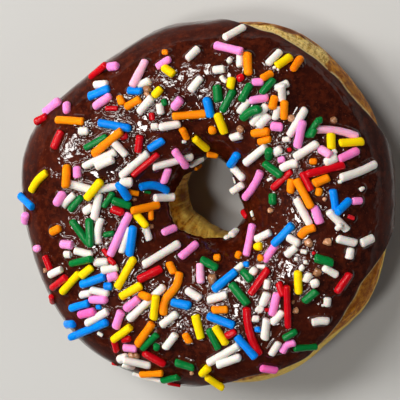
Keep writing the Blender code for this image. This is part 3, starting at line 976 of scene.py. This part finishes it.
class DoughGrid:
    """The dough's skin as a grid, with a row at each bearing and a column at each section angle."""

    def __init__(self, ring):
        self.ring = ring
        self.bearings = even_turn(BEARINGS)
        self.angles = dough_angles()
        self.grid = np.broadcast_to(self.angles, (BEARINGS, len(self.angles)))
        self.skin = skin_values(ring, self.bearings, self.grid)
        self.smooth = section_points(ring, self.bearings, self.grid, self.skin)
        start, end = icing_ends(ring, self.bearings)
        # How many degrees inside the icing's edge each place is; below 0 where the dough is bare.
        self.inside = np.minimum(self.grid - start, end - self.grid)
        self.ragged = self.lumps(*RAGGED_NOISE)

    def lumps(self, size, seed, stretch=(1, 1, 1)):
        """Noise with lumps of so many millimetres."""
        places = self.smooth.reshape(-1, 3) * np.array(stretch)
        return noise_at(places, size * MM, seed).reshape(self.grid.shape)

    def ridges(self):
        """Noise in ridges that run along the sections."""
        turns = np.radians(self.bearings)[:, None]
        places = np.broadcast_arrays(np.cos(turns), np.sin(turns), self.grid / RIDGE_LENGTH)
        places = np.stack(places, axis=2).reshape(-1, 3)
        return noise_at(places, *RIDGES).reshape(self.grid.shape)

    def column(self, table):
        """A column of values read from a closed table at even bearings."""
        return at_bearings(table, self.bearings)[:, None]

    def patches(self, listed):
        """How strongly the nearest of some patches shows."""
        strongest = np.zeros(self.grid.shape)
        for bearing, angle, wide, high, strength in listed:
            turn = (self.bearings[:, None] - bearing + 180.0) % 360.0 - 180.0
            away = np.hypot(turn / wide, (self.grid - angle) / high)
            np.maximum(strongest, strength * bump_of(away), out=strongest)
        return strongest

    def waist(self):
        """How strongly the pale band round the waist shows."""
        above = step_up(self.grid - self.column(PALE_FROM) + RAGGED * self.ragged, *PALE_FADE)
        below = step_up(self.column(PALE_TO) - self.grid + RAGGED * self.ragged, *PALE_FADE)
        return above * below * self.column(PALENESS) * (self.grid < CREST)

    def torn(self):
        """How far the dough has torn open or been stretched."""
        along = step_up(self.bearings, *TORN_START) * step_up(self.bearings, *TORN_END)
        above = step_up(self.grid + RAGGED * self.ragged, *TORN_ABOVE) * (self.grid < CREST)
        return np.maximum(along[:, None] * above, self.patches(PALES))

    def browned(self):
        in_hole = step_up(self.grid, *BROWNED_IN_HOLE)
        return np.where(self.grid > CREST, in_hole, step_up(self.grid, *BROWNED_OUTSIDE))

    def points(self, reach):
        """The points at these distances from the core, none of them under the table."""
        points = section_points(self.ring, self.bearings, self.grid, reach)
        points[..., 2] = np.maximum(points[..., 2], 0.0)
        return points

    def from_icing(self, points, icing_points):
        """How far past the pale line along the icing each point is, in millimetres.

        In the hole, that is along the skin. Outside, it is seen from above, past the icing's widest line."""
        per_degree = np.linalg.norm(np.gradient(self.smooth, axis=1), axis=2) / np.gradient(self.angles)
        from_edge = -self.inside * per_degree / MM
        middle = np.array(self.ring.middle)[:2]
        lip = np.linalg.norm(icing_points[..., :2] - middle, axis=2).max(axis=1)
        from_lip = (np.linalg.norm(points[..., :2] - middle, axis=2) - lip[:, None]) / MM
        outside = np.maximum(from_lip, from_edge - LINE_OUTSIDE)
        return np.where(self.grid > CREST, from_edge - LINE_IN_HOLE, outside) - self.column(PALE_AND_SHEEN_LINE)


def build_dough(ring, icing_points, material):
    dough = DoughGrid(ring)
    torn = dough.torn()
    crust = dough.patches(CRUSTS)
    pits = dough.patches(PITS)
    pleats = dough.lumps(*PLEATS)
    ridges = dough.ridges()
    in_hole = bump_of((dough.grid - PLEATED[0]) / PLEATED[1])
    # The hole's wall is paler in all, with painted highlights on the crests of its pleats and ridges.
    paleness, highlight_on_pleats, highlight_on_ridges = WALL_PALENESS_AND_HIGHLIGHTS
    wall = in_hole * (paleness + highlight_on_pleats * pleats + highlight_on_ridges * ridges)
    crumb = np.clip(np.maximum(dough.waist(), torn) + wall, 0, 1) * (1 - crust)
    swell = sum(height * dough.lumps(width, seed) for height, width, seed in DOUGH_SWELLINGS)
    swell += (PLEAT_HEIGHT * pleats + RIDGE_HEIGHT * ridges) * in_hole
    pores = PORE_DEPTH * np.clip(dough.lumps(*PORES) - PORE_START, 0, 1) * torn
    under, deep_under = UNDER_ICING
    covered = np.clip((dough.inside - under) / (deep_under - under), 0, 1)
    reach = dough.skin + (swell - pores) * MM - covered * DOUGH_UNDER_ICING
    reach += FOLD_HEIGHT * dough.patches(FOLDS) * (1 + FOLD_RAGGED * dough.ragged)
    points = dough.points(reach - PIT_DEPTH * pits)
    made = mesh_object("dough_ring", points.reshape(-1, 3), wrapped_faces(*reach.shape), material)
    set_attribute(made, "crumb", crumb)
    set_attribute(made, "crust", np.maximum(dough.browned(), crust))
    set_attribute(made, "torn", torn)
    set_attribute(made, "pit_shade", pits)
    set_attribute(made, "from_icing_mm", dough.from_icing(points, icing_points))
    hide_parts("dough")
    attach(made, "root")


# ---- materials


class Look:
    """A material under construction: its node tree and its surface shader."""

    def __init__(self, name):
        self.material = bpy.data.materials.new(name)
        self.material.use_nodes = True
        self.tree = self.material.node_tree
        self.shader = self.tree.nodes["Principled BSDF"]
        self.place = self.tree.nodes.new("ShaderNodeTexCoord").outputs["Object"]

    def set(self, **values):
        """Fixed values of the shader, by the names of its sockets with _ for a space."""
        for name, value in values.items():
            self.shader.inputs[name.replace("_", " ")].default_value = value

    def feed(self, name, output):
        self.tree.links.new(output, self.shader.inputs[name])

    def node(self, kind, inputs, **settings):
        made = self.tree.nodes.new(kind)
        for name, value in settings.items():
            setattr(made, name, value)
        for key, value in inputs.items():
            if isinstance(value, bpy.types.NodeSocket):
                self.tree.links.new(value, made.inputs[key])
            else:
                made.inputs[key].default_value = value
        return made

    def noise(self, size, detail=3.0, roughness=0.55, upright=1.0):
        """Noise with lumps of about a given size in metres, and so many times that size upwards."""
        place = self.place
        if upright != 1.0:
            squeeze = {0: self.place, 1: (1.0, 1.0, 1.0 / upright)}
            place = self.node("ShaderNodeVectorMath", squeeze, operation="MULTIPLY").outputs[0]
        inputs = {"Vector": place, "Scale": 1.0 / size, "Detail": detail, "Roughness": roughness}
        return self.node("ShaderNodeTexNoise", inputs).outputs[0]

    def ramp(self, factor, low, high):
        """0 at low and beyond it, 1 at high and beyond it."""
        inputs = {"Value": factor, "From Min": low, "From Max": high}
        return self.node("ShaderNodeMapRange", inputs, interpolation_type="SMOOTHSTEP").outputs[0]

    def scaled(self, factor, low, high):
        """A factor of 0 to 1 as a value between low and high."""
        inputs = {"Value": factor, "To Min": low, "To Max": high}
        return self.node("ShaderNodeMapRange", inputs).outputs[0]

    def mix(self, factor, a, b):
        inputs = {0: factor, 6: a, 7: b}
        return self.node("ShaderNodeMix", inputs, data_type="RGBA").outputs[2]

    def math(self, operation, a, b):
        return self.node("ShaderNodeMath", {0: a, 1: b}, operation=operation).outputs[0]

    def attribute(self, name):
        """A value that the mesh holds at each point."""
        return self.node("ShaderNodeAttribute", {}, attribute_name=name).outputs["Fac"]

    def bump(self, height, distance, strength, under=None):
        """Relief of a height, with distance as its depth, over another relief if there is one."""
        inputs = {"Height": height, "Distance": distance, "Strength": strength}
        if under is not None:
            inputs["Normal"] = under
        return self.node("ShaderNodeBump", inputs).outputs[0]


def rgb(red, green, blue):
    return (red, green, blue, 1.0)


def icing_look():
    look = Look("chocolate_icing")
    cloud = look.noise(14 * MM, 2.0)
    mottle = look.noise(1.7 * MM, 5.0, 0.65)
    speck = look.noise(0.5 * MM, 2.0)
    deep = look.mix(look.ramp(cloud, 0.35, 0.65), rgb(0.022, 0.0020, 0.0005), rgb(0.042, 0.0044, 0.0010))
    warm = look.mix(look.ramp(mottle, 0.40, 0.70), deep, rgb(0.076, 0.0100, 0.0022))
    colour = look.mix(look.ramp(speck, 0.62, 0.76), warm, rgb(0.125, 0.028, 0.011))
    look.feed("Base Color", colour)
    look.feed("Roughness", look.scaled(mottle, 0.35, 0.55))
    edgeways = look.node("ShaderNodeLayerWeight", {"Blend": 0.5}).outputs["Facing"]
    flank = look.scaled(look.ramp(edgeways, 0.20, 0.42), 1.0, 0.08)
    outline = look.scaled(look.ramp(edgeways, 0.66, 0.86), 0.0, 0.8)
    look.feed("Coat Weight", look.math("ADD", flank, outline))
    look.set(Coat_Roughness=0.03, Coat_IOR=1.5, Specular_IOR_Level=0.03)
    stirred = look.attribute("stirred")
    gap = look.attribute("gap_mm")
    ripple = look.bump(look.noise(2.4 * MM, 1.0), 0.30 * MM, look.scaled(stirred, 0.25, 0.8))
    rim = look.math("SUBTRACT", look.ramp(gap, 0.05, 0.50), look.ramp(gap, 0.50, 1.0))
    rim = look.math("MULTIPLY", rim, look.ramp(look.noise(1.9 * MM, 1.0), 0.34, 0.52))
    rimmed = look.bump(rim, 0.135 * MM, 1.0, ripple)
    grain = look.bump(look.noise(1.15 * MM, 2.0, 0.5), 0.26 * MM, look.scaled(stirred, 0.04, 1.0), rimmed)
    look.feed("Normal", grain)
    look.feed("Coat Normal", grain)
    return look.material


def dough_look():
    look = Look("fried_dough")
    patch = look.noise(5 * MM, 4.0, 0.6)
    mottle = look.noise(1.6 * MM, 4.0, 0.6)
    pores = look.noise(0.75 * MM, 4.0, 0.65, 2.0)
    fine = look.noise(0.35 * MM, 3.0, 0.55, 2.0)
    fried = look.mix(look.ramp(mottle, 0.38, 0.62), rgb(0.28, 0.070, 0.003), rgb(0.66, 0.27, 0.014))
    fried = look.mix(look.ramp(fine, 0.58, 0.74), fried, rgb(0.74, 0.27, 0.018))
    brown = look.mix(look.ramp(patch, 0.35, 0.65), rgb(0.085, 0.019, 0.003), rgb(0.24, 0.062, 0.007))
    torn = look.attribute("torn")
    # Painted shade: the torn crumb is darker where its pore relief dips.
    pore_shade = look.math("MULTIPLY", look.ramp(pores, 0.58, 0.38), look.scaled(torn, 0.3, 1.0))
    cream = look.mix(torn, rgb(0.96, 0.66, 0.12), rgb(0.98, 0.71, 0.24))
    pale = look.mix(pore_shade, cream, rgb(0.46, 0.25, 0.022))
    pale = look.mix(look.scaled(look.ramp(patch, 0.48, 0.64), 0.0, 0.5), pale, rgb(0.68, 0.34, 0.04))
    # Painted highlight, partly pale crumb: the tops of the fine relief are lighter, most on the torn crumb
    # and along the hole's wall.
    grains = look.math("MULTIPLY", look.ramp(fine, 0.56, 0.68), look.scaled(torn, 0.2, 1.0))
    pale = look.mix(grains, pale, rgb(0.98, 0.78, 0.36))
    # The crumb attribute holds the dough's paleness and also the painted highlights on the hole's pleats and
    # ridges.
    crumb = look.math("ADD", look.attribute("crumb"), look.scaled(mottle, -0.22, 0.22))
    colour = look.mix(look.ramp(crumb, 0.15, 0.85), fried, pale)
    crust = look.math("ADD", look.attribute("crust"), look.scaled(mottle, -0.3, 0.3))
    colour = look.mix(look.ramp(crust, 0.15, 0.85), colour, brown)
    # Painted shade inside the pits.
    colour = look.mix(look.attribute("pit_shade"), colour, rgb(0.06, 0.025, 0.006))
    # The pale line past the icing's edge: partly dough that stayed pale, partly painted sheen of the icing's
    # lip.
    rim = look.math("SUBTRACT", 1.0, look.ramp(look.attribute("from_icing_mm"), -0.13, 0.15))
    rim = look.math("MULTIPLY", rim, look.ramp(look.noise(1.3 * MM, 2.0), 0.30, 0.50))
    colour = look.mix(rim, colour, rgb(0.80, 0.58, 0.24))
    look.feed("Base Color", colour)
    look.feed("Roughness", look.scaled(pores, 0.32, 0.62))
    look.set(Subsurface_Weight=0.15, Subsurface_Scale=0.8 * MM, Specular_IOR_Level=0.07)
    look.shader.inputs["Subsurface Radius"].default_value = (1.0, 0.45, 0.18)
    skin = look.bump(pores, 0.22 * MM, look.scaled(torn, 0.25, 0.6))
    look.feed("Normal", look.bump(fine, 0.08 * MM, look.scaled(torn, 0.3, 0.5), skin))
    return look.material


# Each colour of sugar: its pale, usual and deep tones.
SUGAR_TONES = {
    "white": (rgb(0.84, 0.82, 0.77), rgb(0.80, 0.76, 0.71), rgb(0.75, 0.65, 0.60)),
    "pink": (rgb(0.95, 0.50, 0.66), rgb(0.93, 0.28, 0.66), rgb(0.90, 0.13, 0.46)),
    "yellow": (rgb(0.97, 0.74, 0.006), rgb(0.96, 0.67, 0.002), rgb(0.93, 0.54, 0.002)),
    "orange": (rgb(0.95, 0.32, 0.004), rgb(0.94, 0.26, 0.002), rgb(0.92, 0.17, 0.002)),
    "red": (rgb(0.72, 0.018, 0.028), rgb(0.54, 0.002, 0.008), rgb(0.38, 0.001, 0.005)),
    "green": (rgb(0.010, 0.27, 0.062), rgb(0.002, 0.18, 0.034), rgb(0.001, 0.11, 0.022)),
    "blue": (rgb(0.004, 0.35, 0.90), rgb(0.001, 0.24, 0.82), rgb(0.001, 0.15, 0.64)),
}
# Each colour's skin: how rough it is where it is smoothest and where it is roughest, its gloss, and how
# deep its dents are, in millimetres.
SUGAR_SKIN = {
    "white": (0.40, 0.60, 0.15, 0.06),
    "pink": (0.40, 0.60, 0.12, 0.06),
    "yellow": (0.40, 0.60, 0.06, 0.06),
    "orange": (0.40, 0.60, 0.08, 0.06),
    "red": (0.16, 0.30, 0.22, 0.11),
    "green": (0.16, 0.30, 0.20, 0.11),
    "blue": (0.22, 0.40, 0.14, 0.09),
}


def sugar_look(colour):
    look = Look("sugar_" + colour)
    pale, usual, deep = SUGAR_TONES[colour]
    tint = look.math("ADD", look.attribute("tint"), look.scaled(look.noise(1.4 * MM, 3.0), -0.5, 0.5))
    tone = look.mix(look.ramp(tint, -1.0, 0.0), pale, usual)
    tone = look.mix(look.ramp(tint, 0.0, 1.0), tone, deep)
    grains = look.noise(0.28 * MM, 2.0)
    look.feed("Base Color", look.mix(look.ramp(grains, 0.62, 0.85), tone, pale))
    smoothest, roughest, gloss, dent = SUGAR_SKIN[colour]
    look.feed("Roughness", look.scaled(grains, smoothest, roughest))
    look.set(Subsurface_Weight=0.4, Subsurface_Scale=0.5 * MM, Specular_IOR_Level=gloss)
    dents = look.bump(look.noise(0.7 * MM, 2.0), dent * MM, 0.9)
    look.feed("Normal", look.bump(grains, 0.045 * MM, 0.6, dents))
    return look.material


def crumb_look():
    look = Look("coated_crumb")
    tint = look.math("ADD", look.attribute("tint"), look.scaled(look.noise(0.8 * MM, 3.0), -1.2, 1.2))
    tone = look.mix(look.ramp(tint, -1.0, 1.0), rgb(0.28, 0.12, 0.05), rgb(0.62, 0.30, 0.15))
    look.feed("Base Color", tone)
    look.feed("Roughness", look.scaled(look.noise(0.4 * MM), 0.2, 0.45))
    look.set(Coat_Weight=0.5, Coat_Roughness=0.12)
    look.feed("Normal", look.bump(look.noise(0.5 * MM, 3.0), 0.05 * MM, 0.5))
    return look.material


def floor_look():
    look = Look("pale_floor")
    tone = look.mix(look.noise(90 * MM, 2.0), rgb(0.52, 0.52, 0.51), rgb(0.55, 0.55, 0.54))
    look.feed("Base Color", tone)
    look.set(Roughness=0.8, Specular_IOR_Level=0.2)
    return look.material


# ---- the stage

FLOOR_SIZE = 3.0
# Area lights: (name, bearing, elevation, distance, width, height, power in watts, whether it lights
# matt surfaces, whether gloss reflects it).
LIGHTS = (
    ("key_light", 125.0, 60.0, 0.9, 0.23, 0.23, 3.2, True, True),
    ("side_light", 163.0, 46.0, 0.9, 0.23, 0.23, 3.1, True, True),
    ("crisp_light", 200.0, 75.0, 1.1, 0.19, 0.19, 3.3, True, True),
    ("spark_light", 244.0, 65.0, 1.1, 0.12, 0.12, 1.6, False, True),
    ("low_light", 152.0, 26.0, 1.1, 1.0, 1.0, 7.6, True, False),
    ("fill_light", 350.0, 24.0, 1.1, 0.9, 0.9, 1.7, True, False),
    ("sheen_light", 50.0, 4.0, 1.1, 0.8, 0.14, 0.13, True, True),
)
LIGHT_COLOUR = (1.0, 0.975, 0.94)
WORLD_LIGHT = 0.045


def build_floor():
    half = FLOOR_SIZE / 2
    corners = [(-half, -half, 0.0), (half, -half, 0.0), (half, half, 0.0), (-half, half, 0.0)]
    mesh_object("floor", corners, [(0, 1, 2, 3)], floor_look())


def build_lights():
    for name, bearing, elevation, distance, width, height, power, lights, shines in LIGHTS:
        light = bpy.data.lights.new(name, "AREA")
        light.shape = "ELLIPSE"
        light.size = width
        light.size_y = height
        light.energy = power
        light.color = LIGHT_COLOUR
        lamp = bpy.data.objects.new(name, light)
        lamp.visible_diffuse = lights
        lamp.visible_glossy = shines
        b, e = math.radians(bearing), math.radians(elevation)
        away = Vector((math.cos(b) * math.cos(e), math.sin(b) * math.cos(e), math.sin(e)))
        lamp.location = AIM + away * distance
        lamp.rotation_euler = away.to_track_quat("Z", "Y").to_euler()
        bpy.context.scene.collection.objects.link(lamp)
    world = bpy.data.worlds.new("studio")
    world.use_nodes = True
    sky = world.node_tree.nodes["Background"]
    sky.inputs["Color"].default_value = (1.0, 1.0, 1.0, 1.0)
    sky.inputs["Strength"].default_value = WORLD_LIGHT
    bpy.context.scene.world = world


def build_camera(sight):
    data = bpy.data.cameras.new("camera")
    data.sensor_width = SENSOR
    data.lens = SENSOR * DISTANCE / PICTURE_WIDTH
    camera = bpy.data.objects.new("camera", data)
    turn = Matrix((sight.right, sight.up, sight.back)).transposed().to_4x4()
    camera.matrix_world = Matrix.Translation(sight.eye) @ turn
    bpy.context.scene.collection.objects.link(camera)
    bpy.context.scene.camera = camera
    bpy.context.scene.view_settings.view_transform = "Standard"


def main():
    ring = Ring()
    sight = Sight()
    points, normals = pour_icing(ring)
    faces = wrapped_faces(*points.shape[:2])
    tree = tree_over(points.reshape(-1, 3), faces)
    laid = lay_sprinkles(sight, tree)
    build_dough(ring, points, dough_look())
    gap, stirred = hug_sprinkles(points, normals, laid)
    stir_patches(points, stirred, sight, tree)
    build_icing(points, faces, gap, stirred, icing_look())
    for colour, group in laid.items():
        build_sprinkles(colour, group, sugar_look(colour))
    build_crumbs(sight, tree, crumb_look())
    build_floor()
    build_lights()
    build_camera(sight)


main()
